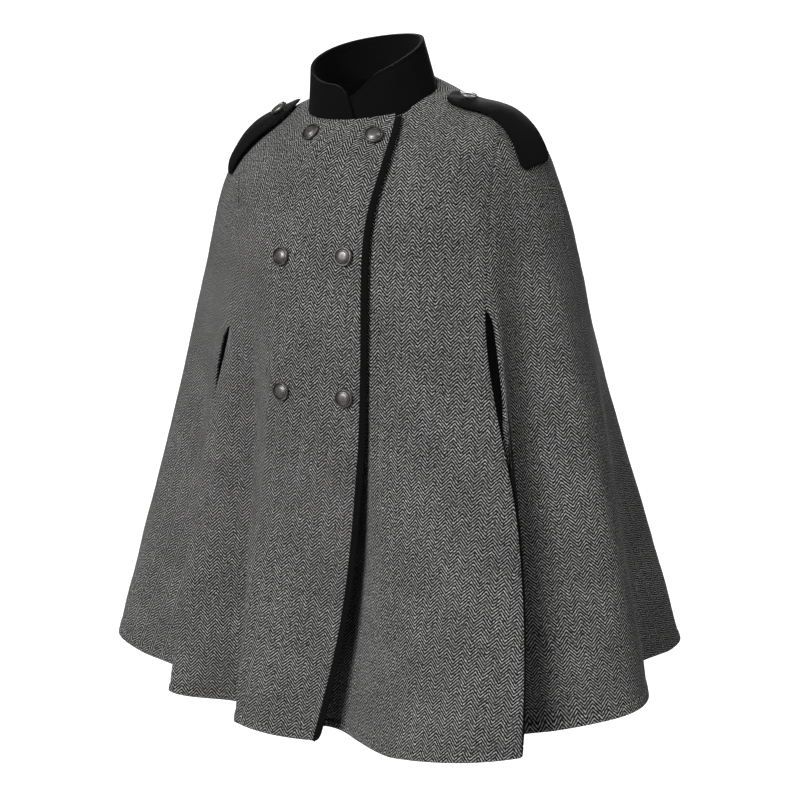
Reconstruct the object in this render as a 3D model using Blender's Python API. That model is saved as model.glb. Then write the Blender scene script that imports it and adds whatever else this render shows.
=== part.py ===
"""A military-style wool cape, filled out as if worn: herringbone body, black stand collar and shoulder tabs.

Metres, +Z up. The wearer faces -Y, so the wearer's left is +X. The origin is the middle of the neck seam,
level with its back, where the wearer's neck and shoulders hold the cape.

The body is one surface of rings from the neck seam to the hem. "down" is a ring's place along the cloth,
0 at the neck seam and 1 at the hem. "angle" is the direction from a ring's middle, in degrees: 0 at the
centre front, 90 at the wearer's left side, 180 at the centre back. Every panel, tab and button is placed on
that surface by its angle and its place down, and then moved out from it.
"""

from collections import namedtuple
from math import cos, hypot, pi, radians, sin, sqrt

import bmesh
import bpy
from mathutils import Vector

# Cloth
WALL = 0.0022
TRIM_WALL = 0.0038
SEAM_GAP = 0.0003
LAP = 0.0048

# Rings of the body from above: half an oval in front and half behind, and the heights of front, sides, back.
# "hold" is how soon the side's height gives way to the front's or back's: near 0.6 at once, over 1 slowly.
# "tilt" is how much the wearer's left shoulder sits above the right one, for each metre across.
# "level" is how nearly the ring lies in one plane.
Ring = namedtuple("Ring", "down half_width middle front back z_front z_side z_back hold tilt level")
RINGS = (
    Ring(0.00, 0.070, 0.007, 0.069, 0.064, -0.0440, -0.0215, 0.000, 0.80, 0.03, 0.65),
    Ring(0.07, 0.108, 0.014, 0.100, 0.078, -0.075, -0.035, -0.017, 0.90, 0.05, 0.3),
    Ring(0.14, 0.150, 0.026, 0.126, 0.094, -0.115, -0.050, -0.047, 1.10, 0.07, 0.0),
    Ring(0.20, 0.179, 0.034, 0.146, 0.106, -0.156, -0.078, -0.086, 1.40, 0.07, 0.0),
    Ring(0.27, 0.199, 0.040, 0.161, 0.120, -0.208, -0.124, -0.136, 1.80, 0.05, 0.0),
    Ring(0.38, 0.220, 0.044, 0.172, 0.148, -0.286, -0.204, -0.218, 2.20, 0.03, 0.0),
    Ring(0.55, 0.248, 0.048, 0.186, 0.192, -0.398, -0.324, -0.344, 2.50, 0.00, 0.0),
    Ring(0.78, 0.284, 0.053, 0.211, 0.244, -0.547, -0.486, -0.516, 2.50, -0.01, 0.0),
    Ring(1.00, 0.320, 0.055, 0.240, 0.290, -0.695, -0.644, -0.680, 2.50, -0.01, 0.0),
)

# Folds: how far a crest stands out (+) or a trough goes in (-) at the hem, at what angle there and at the
# chest, and where down the cloth it starts to show
Fold = namedtuple("Fold", "angle chest_angle reach start")
FOLDS = (
    Fold(-155, -155, -0.025, 0.35),
    Fold(-125, -125, 0.028, 0.25),
    Fold(-98, -98, -0.030, 0.30),
    Fold(-64, -66, 0.026, 0.30),
    Fold(-49, -53, -0.026, 0.15),
    Fold(-40, -44, 0.006, 0.12),
    Fold(-28, -28, -0.050, 0.30),
    Fold(-19, -21, -0.016, 0.25),
    Fold(4, 4, -0.070, 0.35),
    Fold(51.8, 61, 0.066, 0.30),
    Fold(55.5, 65, -0.010, 0.30),
    Fold(76, 80, 0.024, 0.22),
    Fold(103, 103, -0.036, 0.30),
    Fold(127, 127, 0.026, 0.15),
    Fold(152, 152, -0.022, 0.35),
    Fold(178, 178, 0.020, 0.35),
)
OVERLAP_FOLDS = (
    Fold(-19, -21, -0.016, 0.25),
    Fold(10, 10, -0.034, 0.30),
    Fold(51.8, 61, -0.034, 0.30),
)
OVERLAP_FOLDS_FROM = -20
OVERLAP_FOLDS_TO = 51
CHEST = 0.3
FOLD_END = 1.15
CREST_RISE = 0.18

# Places between the folds where the cloth is pushed in, and how far from the middle this reaches. "under" is 1
# for one that only the front beneath the lap has.
Hollow = namedtuple("Hollow", "angle down depth round_reach down_reach under")
HOLLOWS = (
    Hollow(71, 0.60, 0.022, 11, 0.44, 0),
    Hollow(-27, 0.52, 0.012, 11, 0.30, 0),
    Hollow(14, 0.66, 0.016, 13, 0.34, 1),
)

# How far apart the points are that give the surface's slope: down the cloth, and round it in degrees
SLOPE_DOWN = 0.004
SLOPE_ROUND = 0.6

# Seams and edges: the angle at which each runs, by its place down the cloth
Line = namedtuple("Line", "down angle")
SIDE_TOP = 0.11
SIDE_APEX = 0.118
PRINCESS_LEFT = (
    Line(SIDE_TOP, 90), Line(0.155, 80), Line(0.20, 70), Line(0.27, 63.3), Line(0.38, 58.2), Line(0.45, 57),
    Line(0.55, 57.2), Line(0.66, 57.4), Line(0.80, 55.4), Line(1.00, 51.2),
)
PRINCESS_RIGHT = (
    Line(SIDE_TOP, -90), Line(0.155, -68), Line(0.20, -49), Line(0.27, -37.5), Line(0.38, -38),
    Line(0.55, -42.5), Line(0.78, -42.5), Line(1.00, -39.5),
)
SIDE_SEAM_LEFT = (Line(SIDE_TOP, 90), Line(0.27, 89), Line(1.00, 89))
SIDE_SEAM_RIGHT = (Line(SIDE_TOP, -90), Line(0.27, -89), Line(1.00, -89))
OVERLAP_EDGE = (
    Line(0.000, 50), Line(0.045, 41), Line(0.09, 33.5), Line(0.14, 27.2), Line(0.19, 22.8), Line(0.25, 20.5),
    Line(0.38, 20), Line(0.55, 18.5), Line(0.78, 13.5), Line(1.00, 4.8),
)
UNDERLAP_EDGE = (Line(0.00, -34), Line(0.27, -16), Line(1.00, -16))

# How far past the free edge, in degrees, the left front starts to dip under the right one, and over how many
DIP_FROM = 25
DIP_OVER = 20

# Arm slits, in the seams between the fronts and the side panels. They stand open widest in their upper half.
SLIT_TOP = 0.39
SLIT_BOTTOM = 0.60
SLIT_GAP = 0.011
SLIT_SKEW = 0.6

# Places down the cloth where every panel has a row of points
ROWS = (
    0, 0.035, 0.07, SIDE_TOP, SIDE_APEX, 0.155, 0.19, 0.23, 0.28, 0.33, SLIT_TOP, 0.42, 0.46, 0.50, 0.55,
    SLIT_BOTTOM, 0.66, 0.73, 0.80, 0.87, 0.94, 1,
)
FRONT_COLUMNS = 22
SIDE_COLUMNS = 13
SIDE_BUNCHING = 1.5
BACK_COLUMNS = 34

# Strip along the free front edge
BAND_WIDTH = 0.0078
BAND_TOP = 0.012
BAND_CORNER = 0.016
BAND_LEAST = 0.35

# Stand collar: the oval of its rim, the rim's heights, and how much of the wall is kept towards its ends
Rim = namedtuple("Rim", "half_width middle front back")
COLLAR_RIM = Rim(0.0610, -0.0064, 0.0560, 0.0600)
COLLAR_RIM_Z = 0.0191
COLLAR_RIM_AHEAD = -0.0237
COLLAR_RIM_SIDE = 0.0051
COLLAR_RIM_TWICE = -0.0031
Kept = namedtuple("Kept", "down share")
COLLAR_KEPT = (
    Kept(0, 0.12), Kept(1.5, 0.36), Kept(4, 0.62), Kept(8, 0.80), Kept(14, 0.94), Kept(22, 1), Kept(328, 1),
    Kept(343, 0.90), Kept(353, 0.755), Kept(363, 0.64), Kept(373, 0.57), Kept(383, 0.50),
)
COLLAR_START = 13
COLLAR_TURN = 383
COLLAR_TUCK = TRIM_WALL + 0.0006
COLLAR_TUCK_FROM = 308
COLLAR_TUCK_OVER = 55
COLLAR_SEAT = 0.0005
COLLAR_INSET = 0.0008
COLLAR_END_TURNS = (0, 1, 2.5, 5, 9, 14, 20)
COLLAR_COLUMNS = 36
COLLAR_LEVELS = (1, 0.67, 0.33, 0)

# Shoulder tabs
TAB_LINE = (Line(0.03, 97), Line(0.08, 92), Line(0.14, 87.5), Line(0.235, 84))
Tab = namedtuple("Tab", "side start end turned")
TABS = {"left": Tab(1, 0.028, 0.234, 0), "right": Tab(-1, 0.033, 0.198, 16)}
TAB_LENGTH = 0.135
TAB_WALL = 0.0040
TAB_LIFT = 0.0006
TAB_ARCH = 0.0035
TAB_NECK_HALF = 0.022
TAB_OUTER_HALF = 0.025
TAB_CORNER = 0.010
TAB_LEAST = 0.2
TAB_ALONG = (0, 0.015, 0.045, 0.09, 0.16, 0.26, 0.36, 0.46, 0.56, 0.66, 0.76, 0.86, 0.93, 0.965, 0.985, 1)
TAB_ACROSS = (-1, -0.6, -0.2, 0.2, 0.6, 1)

# Buttons: the place of each, on the right front and on the tabs, then the turned outline from the cloth up
Place = namedtuple("Place", "angle down")
FRONT_BUTTONS = (
    Place(-20.5, 0.034), Place(29.7, 0.043), Place(-14.5, 0.238), Place(13.6, 0.237), Place(-10.5, 0.438),
    Place(14.2, 0.442),
)
TAB_BUTTONS = {"left": Place(93.5, 0.067), "right": Place(-77.5, 0.067)}
Step = namedtuple("Step", "radius height")
BUTTON_OUTLINE = (
    Step(0.0030, 0.0000), Step(0.0030, 0.0014), Step(0.0086, 0.0017), Step(0.0099, 0.0026),
    Step(0.0099, 0.0034), Step(0.0092, 0.0042), Step(0.0082, 0.0037), Step(0.0060, 0.0050),
    Step(0.0030, 0.0058),
)
BUTTON_CROWN = 0.0060
BUTTON_SEAT = 0.0004
BUTTON_SIDES = 12

# Colours: base colour, roughness, metallic
Finish = namedtuple("Finish", "colour roughness metallic")
FINISHES = {
    "tweed": Finish((0.14, 0.14, 0.14, 1), 0.92, 0.0),
    "black_wool": Finish((0.012, 0.012, 0.013, 1), 0.88, 0.0),
    "old_silver": Finish((0.30, 0.29, 0.28, 1), 0.42, 1.0),
}


def blended(rows, down, name):
    """A column of a table at that place, as a smooth curve through its rows."""
    last = len(rows) - 1
    k = max(0, min(last - 1, sum(row.down <= down for row in rows) - 1))
    run = rows[k + 1].down - rows[k].down
    y0, y1 = getattr(rows[k], name), getattr(rows[k + 1], name)

    def slope(i):
        low, high = max(0, i - 1), min(last, i + 1)
        rise = getattr(rows[high], name) - getattr(rows[low], name)
        return rise / (rows[high].down - rows[low].down)

    t = (down - rows[k].down) / run
    held = y0 * (1 + 2 * t) * (1 - t) ** 2 + y1 * t * t * (3 - 2 * t)
    return held + run * t * (1 - t) * (slope(k) * (1 - t) - slope(k + 1) * t)


def eased(x):
    """0 below 0, 1 above 1, and smooth between."""
    x = max(0.0, min(1.0, x))
    return x * x * (3 - 2 * x)


def rounding(x):
    """How much is left of a corner at that share of its radius."""
    return sqrt(max(0.0, 1 - x * x))


def grown(start, down):
    """How much of a fold shows there: nothing at its start, all of it at the hem, and still growing."""
    return eased((down - start) / (FOLD_END - start)) / eased((1 - start) / (FOLD_END - start))


def fold_reach(folds, angle, down):
    """How far the folds push the cloth out at that place."""
    below_chest = max(0.0, (down - CHEST) / (1 - CHEST)) ** 2
    places = [fold.chest_angle + (fold.angle - fold.chest_angle) * below_chest for fold in folds]
    turned = (angle + 180) % 360 - 180
    after = next((i for i, place in enumerate(places) if place > turned), 0)
    span = (places[after] - places[after - 1]) % 360
    t = eased(((turned - places[after - 1]) % 360) / span)
    before, beyond = [fold.reach * grown(fold.start, down) for fold in (folds[after - 1], folds[after])]
    return before + (beyond - before) * t


def hollow_depth(angle, down, lapped):
    """How far the hollows push the cloth in at that place."""
    turned = (angle + 180) % 360 - 180
    depth = 0.0
    for hollow in HOLLOWS:
        if hollow.under and lapped:
            continue
        near = eased(1 - abs(turned - hollow.angle) / hollow.round_reach)
        depth += hollow.depth * near * eased(1 - abs(down - hollow.down) / hollow.down_reach)
    return depth


def body_point(angle, down, lapped=False):
    """A point of the cloth's outer face. lapped gives the front that lies on top."""
    out, ahead = sin(radians(angle)), cos(radians(angle))
    half = blended(RINGS, down, "half_width")
    depth = blended(RINGS, down, "front" if ahead > 0 else "back")
    z_end = blended(RINGS, down, "z_front" if ahead > 0 else "z_back")
    z_side = blended(RINGS, down, "z_side")
    on_overlap = lapped and OVERLAP_FOLDS_FROM < angle < OVERLAP_FOLDS_TO
    folds = OVERLAP_FOLDS if on_overlap else FOLDS
    hold = blended(RINGS, down, "hold")
    reach = fold_reach(folds, angle, down) - hollow_depth(angle, down, lapped)
    radius = half * depth / hypot(half * ahead, depth * out) + reach
    x = radius * out
    share = eased(abs(ahead) / hold) / eased(1 / hold)
    share += (abs(ahead) - share) * blended(RINGS, down, "level")
    z = z_side + (z_end - z_side) * share
    z += CREST_RISE * max(0.0, reach) + blended(RINGS, down, "tilt") * x
    return Vector((x, blended(RINGS, down, "middle") - radius * ahead, z))


def outward(angle, down, lapped=False):
    """The direction that points straight out of the cloth there."""
    lower = body_point(angle, down + SLOPE_DOWN, lapped) - body_point(angle, down - SLOPE_DOWN, lapped)
    round_it = body_point(angle + SLOPE_ROUND, down, lapped) - body_point(angle - SLOPE_ROUND, down, lapped)
    return lower.cross(round_it).normalized()


def raised(angle, down, lift, lapped=False):
    """A point that far out from the cloth's outer face."""
    return body_point(angle, down, lapped) + outward(angle, down, lapped) * lift


def degrees_for(distance, angle, down, lapped=False):
    """The angle that covers a distance along the cloth, round its ring."""
    degree = body_point(angle + 0.5, down, lapped) - body_point(angle - 0.5, down, lapped)
    return distance / degree.length


def line_angle(line, down):
    """The angle of a seam or edge, held at its first value above its first row."""
    return blended(line, max(down, line[0].down), "angle")


def finished(name):
    """The named material, made once."""
    found = bpy.data.materials.get(name)
    if found:
        return found
    finish = FINISHES[name]
    material = bpy.data.materials.new(name)
    material.use_nodes = True
    shader = material.node_tree.nodes["Principled BSDF"]
    shader.inputs["Base Color"].default_value = finish.colour
    shader.inputs["Roughness"].default_value = finish.roughness
    shader.inputs["Metallic"].default_value = finish.metallic
    return material


def solid(name, vertices, faces, material):
    """A mesh object of its own, shaded smooth but for its sharp edges."""
    mesh = bpy.data.meshes.new(name)
    mesh.from_pydata(vertices, [], faces)
    mesh.materials.append(finished(material))
    mesh.shade_smooth()
    mesh.set_sharp_from_angle(angle=radians(50))
    made = bpy.data.objects.new(name, mesh)
    bpy.context.scene.collection.objects.link(made)
    return made


def shell(name, outer, inner, material):
    """A wall between two grids of points, rows running down and columns round towards the wearer's left."""
    rows, columns = len(outer), len(outer[0])
    vertices = [point for grid in (outer, inner) for row in grid for point in row]
    behind = rows * columns

    def at(i, j):
        return i * columns + j

    faces = []
    for i in range(rows - 1):
        for j in range(columns - 1):
            face = (at(i, j), at(i + 1, j), at(i + 1, j + 1), at(i, j + 1))
            faces.append(face)
            faces.append(tuple(behind + k for k in reversed(face)))
    rim = [at(i, 0) for i in range(rows)]
    rim += [at(rows - 1, j) for j in range(1, columns)]
    rim += [at(i, columns - 1) for i in range(rows - 2, -1, -1)]
    rim += [at(0, j) for j in range(columns - 2, 0, -1)]
    for k, here in enumerate(rim):
        after = rim[(k + 1) % len(rim)]
        faces.append((after, here, behind + here, behind + after))
    return solid(name, vertices, faces, material)


def shares(count, bunched=1.0):
    """Evenly spaced shares from 0 to 1, or bunched towards 0."""
    return [(k / count) ** bunched for k in range(count + 1)]


def flat_on(angle, down):
    """The lift of a panel that lies on the surface all over."""
    return 0.0


def panel(name, start, end, columns, rows=ROWS, lift=flat_on, lapped=False, material="tweed"):
    """Cloth between two edges, each a function that gives an angle for a place down.

    columns are shares of the way from the first edge to the second.
    """
    outer, inner = [], []
    for down in rows:
        first, last = start(down), end(down)
        angles = [first + (last - first) * share for share in columns]
        outer.append([raised(angle, down, lift(angle, down), lapped) for angle in angles])
        inner.append([raised(angle, down, lift(angle, down) - WALL, lapped) for angle in angles])
    return shell(name, outer, inner, material)


def slit_width(down):
    """How far an arm slit stands open."""
    along = (down - SLIT_TOP) / (SLIT_BOTTOM - SLIT_TOP)
    return SLIT_GAP * sqrt(sin(pi * along ** SLIT_SKEW)) if 0 < along < 1 else 0.0


def under_lap(angle, down):
    """The left front dips under the right one."""
    return -LAP * eased((line_angle(OVERLAP_EDGE, down) + DIP_FROM - angle) / DIP_OVER)


def edge(line, gap, lapped=False):
    """An edge along a line, moved by a gap towards the wearer's left, or right if it is negative."""
    def angle_at(down):
        angle = line_angle(line, down)
        return angle + degrees_for(gap(down) if callable(gap) else gap, angle, down, lapped)
    return angle_at


def build_fronts():
    half = SEAM_GAP / 2
    columns = shares(FRONT_COLUMNS)
    panel("front_right", edge(PRINCESS_RIGHT, half), edge(OVERLAP_EDGE, -half, True), columns, lapped=True)
    panel("front_left", edge(UNDERLAP_EDGE, 0), edge(PRINCESS_LEFT, -half), columns, lift=under_lap)


def build_sides():
    half = SEAM_GAP / 2
    rows = [down for down in ROWS if down >= SIDE_APEX]

    def past_slit(down):
        return half + slit_width(down)

    def before_slit(down):
        return -past_slit(down)

    from_front = shares(SIDE_COLUMNS, SIDE_BUNCHING)
    to_front = [1 - share for share in reversed(from_front)]
    panel("side_left", edge(PRINCESS_LEFT, past_slit), edge(SIDE_SEAM_LEFT, -half), from_front, rows)
    panel("side_right", edge(SIDE_SEAM_RIGHT, half), edge(PRINCESS_RIGHT, before_slit), to_front, rows)


def build_back():
    half = SEAM_GAP / 2
    rear_right = edge(SIDE_SEAM_RIGHT, -half)
    panel("back", edge(SIDE_SEAM_LEFT, half), lambda down: rear_right(down) + 360, shares(BACK_COLUMNS))


def build_edge_band():
    """The strip beyond the right front's free edge, with a rounded corner at the hem."""
    rows = [BAND_TOP] + [down for down in ROWS if BAND_TOP < down < 1 - BAND_CORNER]
    rows += [1 - BAND_CORNER * (1 - sin(radians(turn))) for turn in (0, 30, 60, 90)]

    def width(down):
        into_corner = max(0.0, (down - (1 - BAND_CORNER)) / BAND_CORNER)
        return SEAM_GAP / 2 + BAND_WIDTH * (BAND_LEAST + (1 - BAND_LEAST) * rounding(into_corner))

    inner_edge = edge(OVERLAP_EDGE, SEAM_GAP / 2, True)
    outer_edge = edge(OVERLAP_EDGE, width, True)
    panel("front_edge_band", inner_edge, outer_edge, shares(2), rows, lapped=True, material="black_wool")


def rim_point(angle):
    """The collar's top edge, an oval of its own."""
    out, ahead = sin(radians(angle)), cos(radians(angle))
    depth = COLLAR_RIM.front if ahead > 0 else COLLAR_RIM.back
    radius = COLLAR_RIM.half_width * depth / hypot(COLLAR_RIM.half_width * ahead, depth * out)
    z = COLLAR_RIM_Z + COLLAR_RIM_AHEAD * ahead + COLLAR_RIM_SIDE * out
    z += COLLAR_RIM_TWICE * cos(radians(2 * angle))
    return Vector((radius * out, COLLAR_RIM.middle - radius * ahead, z))


def collar_point(turn, up, inset=0.0):
    """turn runs from the outer end, on the wearer's right front, round the back to the end tucked inside."""
    angle = COLLAR_START - turn
    base = body_point(angle, 0)
    base.z += COLLAR_SEAT
    tucked = COLLAR_TUCK * eased((turn - COLLAR_TUCK_FROM) / COLLAR_TUCK_OVER)
    radial = Vector((base.x, base.y, 0)).normalized()
    foot = base - radial * COLLAR_INSET
    up *= blended(COLLAR_KEPT, turn, "share")
    return foot.lerp(rim_point(angle), up) - radial * (tucked + inset)


def build_collar():
    near_end = COLLAR_END_TURNS[-1]
    between = [near_end + (COLLAR_TURN - 2 * near_end) * share for share in shares(COLLAR_COLUMNS)[1:-1]]
    tucked_end = [COLLAR_TURN - turn for turn in COLLAR_END_TURNS]
    turns = tucked_end + between[::-1] + list(COLLAR_END_TURNS[::-1])
    outer = [[collar_point(turn, up) for turn in turns] for up in COLLAR_LEVELS]
    inner = [[collar_point(turn, up, TRIM_WALL) for turn in turns] for up in COLLAR_LEVELS]
    shell("collar", outer, inner, "black_wool")


def tab_half_width(along):
    """Half the tab's width at a place from its neck end, 0, to its outer end, 1."""
    half = TAB_NECK_HALF + (TAB_OUTER_HALF - TAB_NECK_HALF) * along
    from_neck = along * TAB_LENGTH
    from_end = TAB_LENGTH - from_neck
    if from_neck < half:
        half *= max(TAB_LEAST, rounding(1 - from_neck / half))
    if from_end < TAB_CORNER:
        half -= TAB_CORNER * (1 - rounding(1 - from_end / TAB_CORNER))
    return half


def tab_lift(tab, down):
    """How far off the cloth the tab's under face is: it bridges the shoulder in a low arch."""
    return TAB_LIFT + TAB_ARCH * sin(pi * (down - tab.start) / (tab.end - tab.start))


def build_tabs():
    for name, tab in TABS.items():
        outer, inner = [], []
        for along in TAB_ALONG:
            down = tab.start + (tab.end - tab.start) * along
            half = tab_half_width(along)
            centre = tab.side * (line_angle(TAB_LINE, down) - tab.turned)
            angles = [centre + degrees_for(half * place, centre, down) for place in TAB_ACROSS]
            lift = tab_lift(tab, down)
            outer.append([raised(angle, down, lift + TAB_WALL) for angle in angles])
            inner.append([raised(angle, down, lift) for angle in angles])
        shell(f"epaulette_{name}", outer, inner, "black_wool")


def build_button(name, seat, axis):
    """A domed shank button, turned about the line that stands straight out of the cloth."""
    across = axis.cross(Vector((0, 0, 1))).normalized()
    upward = across.cross(axis)
    vertices = [seat + axis * BUTTON_OUTLINE[0].height]
    for step in BUTTON_OUTLINE:
        for k in range(BUTTON_SIDES):
            turn = 2 * pi * k / BUTTON_SIDES
            spoke = across * cos(turn) + upward * sin(turn)
            vertices.append(seat + axis * step.height + spoke * step.radius)
    vertices.append(seat + axis * BUTTON_CROWN)
    faces = []
    for k in range(BUTTON_SIDES):
        after = (k + 1) % BUTTON_SIDES
        faces.append((0, 1 + k, 1 + after))
        for level in range(len(BUTTON_OUTLINE) - 1):
            low, high = 1 + level * BUTTON_SIDES, 1 + (level + 1) * BUTTON_SIDES
            faces.append((low + k, high + k, high + after, low + after))
        top = 1 + (len(BUTTON_OUTLINE) - 1) * BUTTON_SIDES
        faces.append((top + k, len(vertices) - 1, top + after))
    made = solid(name, vertices, faces, "old_silver")
    bm = bmesh.new()
    bm.from_mesh(made.data)
    bmesh.ops.recalc_face_normals(bm, faces=bm.faces)
    bm.to_mesh(made.data)
    bm.free()
    return made


def build_buttons():
    for number, place in enumerate(FRONT_BUTTONS, 1):
        seat = raised(place.angle, place.down, BUTTON_SEAT, True)
        build_button(f"button_front_{number}", seat, outward(place.angle, place.down, True))
    for name, place in TAB_BUTTONS.items():
        lift = tab_lift(TABS[name], place.down)
        seat = raised(place.angle, place.down, lift + TAB_WALL + BUTTON_SEAT)
        build_button(f"button_epaulette_{name}", seat, outward(place.angle, place.down))


def main():
    for old in list(bpy.data.objects):
        bpy.data.objects.remove(old, do_unlink=True)
    build_fronts()
    build_sides()
    build_back()
    build_edge_band()
    build_collar()
    build_tabs()
    build_buttons()


main()
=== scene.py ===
"""The looks of a military-style wool cape: cloth, trim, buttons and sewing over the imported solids.

Metres, +Z up, the wearer faces -Y. Every piece of cloth is a sheet on the same surface as the solids:
rings from the neck seam ("down" 0) to the hem ("down" 1), and round each ring an angle in degrees, 0 at
the centre front and 90 at the wearer's left side. Each sheet carries a map of its own flat cut, in
metres, so that the herringbone runs along the cut's grain.
"""

from collections import namedtuple
from functools import lru_cache
from math import atan2, cos, hypot, pi, radians, sin, sqrt

import bpy
from mathutils import Matrix, Vector, noise

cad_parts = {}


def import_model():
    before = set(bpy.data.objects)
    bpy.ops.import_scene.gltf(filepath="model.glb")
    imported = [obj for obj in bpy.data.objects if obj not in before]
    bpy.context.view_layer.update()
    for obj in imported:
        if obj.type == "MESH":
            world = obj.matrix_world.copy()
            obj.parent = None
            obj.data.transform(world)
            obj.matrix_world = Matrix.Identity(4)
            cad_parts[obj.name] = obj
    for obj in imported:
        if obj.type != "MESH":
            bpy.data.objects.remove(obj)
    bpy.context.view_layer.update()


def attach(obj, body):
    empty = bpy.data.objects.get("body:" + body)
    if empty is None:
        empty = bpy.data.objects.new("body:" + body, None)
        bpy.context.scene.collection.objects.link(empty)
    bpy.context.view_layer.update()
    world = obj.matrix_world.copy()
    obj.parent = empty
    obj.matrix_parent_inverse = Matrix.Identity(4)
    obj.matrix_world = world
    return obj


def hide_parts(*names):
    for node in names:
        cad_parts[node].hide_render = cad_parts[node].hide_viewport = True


# Rings of the body, each half an oval in front and half behind, with the heights of its front, sides and
# back. "hold" and "level" say how the height runs between them, "tilt" how the ring slopes sideways.
Ring = namedtuple("Ring", "down half_width middle front back z_front z_side z_back hold tilt level")
RINGS = (
    Ring(0.00, 0.070, 0.007, 0.069, 0.064, -0.0440, -0.0215, 0.000, 0.80, 0.03, 0.65),
    Ring(0.07, 0.108, 0.014, 0.100, 0.078, -0.075, -0.035, -0.017, 0.90, 0.05, 0.3),
    Ring(0.14, 0.150, 0.026, 0.126, 0.094, -0.115, -0.050, -0.047, 1.10, 0.07, 0.0),
    Ring(0.20, 0.179, 0.034, 0.146, 0.106, -0.156, -0.078, -0.086, 1.40, 0.07, 0.0),
    Ring(0.27, 0.199, 0.040, 0.161, 0.120, -0.208, -0.124, -0.136, 1.80, 0.05, 0.0),
    Ring(0.38, 0.220, 0.044, 0.172, 0.148, -0.286, -0.204, -0.218, 2.20, 0.03, 0.0),
    Ring(0.55, 0.248, 0.048, 0.186, 0.192, -0.398, -0.324, -0.344, 2.50, 0.00, 0.0),
    Ring(0.78, 0.284, 0.053, 0.211, 0.244, -0.547, -0.486, -0.516, 2.50, -0.01, 0.0),
    Ring(1.00, 0.320, 0.055, 0.240, 0.290, -0.695, -0.644, -0.680, 2.50, -0.01, 0.0),
)

# Folds: the angle of each at the hem and at the chest, how far it stands out or goes in at the hem, and
# how far down it starts. The front that lies on top has its own between two angles.
Fold = namedtuple("Fold", "angle chest_angle reach start")
FOLDS = (
    Fold(-155, -155, -0.025, 0.35),
    Fold(-125, -125, 0.028, 0.25),
    Fold(-98, -98, -0.030, 0.30),
    Fold(-64, -66, 0.026, 0.30),
    Fold(-49, -53, -0.026, 0.15),
    Fold(-40, -44, 0.006, 0.12),
    Fold(-28, -28, -0.050, 0.30),
    Fold(-19, -21, -0.016, 0.25),
    Fold(4, 4, -0.070, 0.35),
    Fold(51.8, 61, 0.066, 0.30),
    Fold(55.5, 65, -0.010, 0.30),
    Fold(76, 80, 0.024, 0.22),
    Fold(103, 103, -0.036, 0.30),
    Fold(127, 127, 0.026, 0.15),
    Fold(152, 152, -0.022, 0.35),
    Fold(178, 178, 0.020, 0.35),
)
OVERLAP_FOLDS = (
    Fold(-19, -21, -0.016, 0.25),
    Fold(10, 10, -0.034, 0.30),
    Fold(51.8, 61, -0.034, 0.30),
)
OVERLAP_FOLDS_FROM = -20
OVERLAP_FOLDS_TO = 51
CHEST = 0.3
FOLD_END = 1.15
CREST_RISE = 0.18

# Places between the folds where the cloth is pushed in, and how far from the middle this reaches.
# "under" is 1 for one that only the front beneath the lap has.
Hollow = namedtuple("Hollow", "angle down depth round_reach down_reach under")
HOLLOWS = (
    Hollow(71, 0.60, 0.022, 11, 0.44, 0),
    Hollow(-27, 0.52, 0.012, 11, 0.30, 0),
    Hollow(14, 0.66, 0.016, 13, 0.34, 1),
)

# How far apart the points are that give the surface's slope
SLOPE_DOWN = 0.004
SLOPE_ROUND = 0.6

# Seams and edges: the angle at which each runs, by its place down the cloth
Line = namedtuple("Line", "down angle")
SIDE_TOP = 0.11
SIDE_APEX = 0.118
PRINCESS_LEFT = (
    Line(SIDE_TOP, 90), Line(0.155, 80), Line(0.20, 70), Line(0.27, 63.3), Line(0.38, 58.2),
    Line(0.45, 57), Line(0.55, 57.2), Line(0.66, 57.4), Line(0.80, 55.4), Line(1.00, 51.2),
)
PRINCESS_RIGHT = (
    Line(SIDE_TOP, -90), Line(0.155, -68), Line(0.20, -49), Line(0.27, -37.5), Line(0.38, -38),
    Line(0.55, -42.5), Line(0.78, -42.5), Line(1.00, -39.5),
)
SIDE_SEAM_LEFT = (Line(SIDE_TOP, 90), Line(0.27, 89), Line(1.00, 89))
SIDE_SEAM_RIGHT = (Line(SIDE_TOP, -90), Line(0.27, -89), Line(1.00, -89))
OVERLAP_EDGE = (
    Line(0.000, 50), Line(0.045, 41), Line(0.09, 33.5), Line(0.14, 27.2), Line(0.19, 22.8),
    Line(0.25, 20.5), Line(0.38, 20), Line(0.55, 18.5), Line(0.78, 13.5), Line(1.00, 4.8),
)
UNDERLAP_EDGE = (Line(0.00, -34), Line(0.27, -16), Line(1.00, -16))

# The tweed panels: how far across each its grain runs straight down, and its columns of points
Panel = namedtuple("Panel", "grain columns")
PANELS = {
    "front_right": Panel(0.75, 70),
    "front_left": Panel(0.6, 84),
    "side_right": Panel(0.55, 64),
    "side_left": Panel(0.45, 64),
    "back": Panel(0.5, 180),
}

# Cloth: how thick it is, how it meets at the seams, and how the left front dips under the right one
WALL = 0.0022
TRIM_WALL = 0.0038
WALL_ROUNDING = 0.0006
WALL_EDGE_ANGLE = 55
SEAM_GAP = 0.0001
LAP = 0.0048
DIP_FROM = 25
DIP_OVER = 20

# Rows and columns of points, close together at the hem and at the edges, where narrow rows squeeze them
CLOTH_LENGTH = 0.70
ROW_STEP = 0.0060
HEM_STEPS = (0, 0.0010, 0.0025, 0.0055, 0.0082, 0.0092, 0.0100, 0.0108, 0.0118, 0.0140)
HEM_CLEAR = 0.004
EDGE_STEPS = (0, 0.0008, 0.0018, 0.0030, 0.0045)
NARROW_ROW = 0.04

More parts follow.
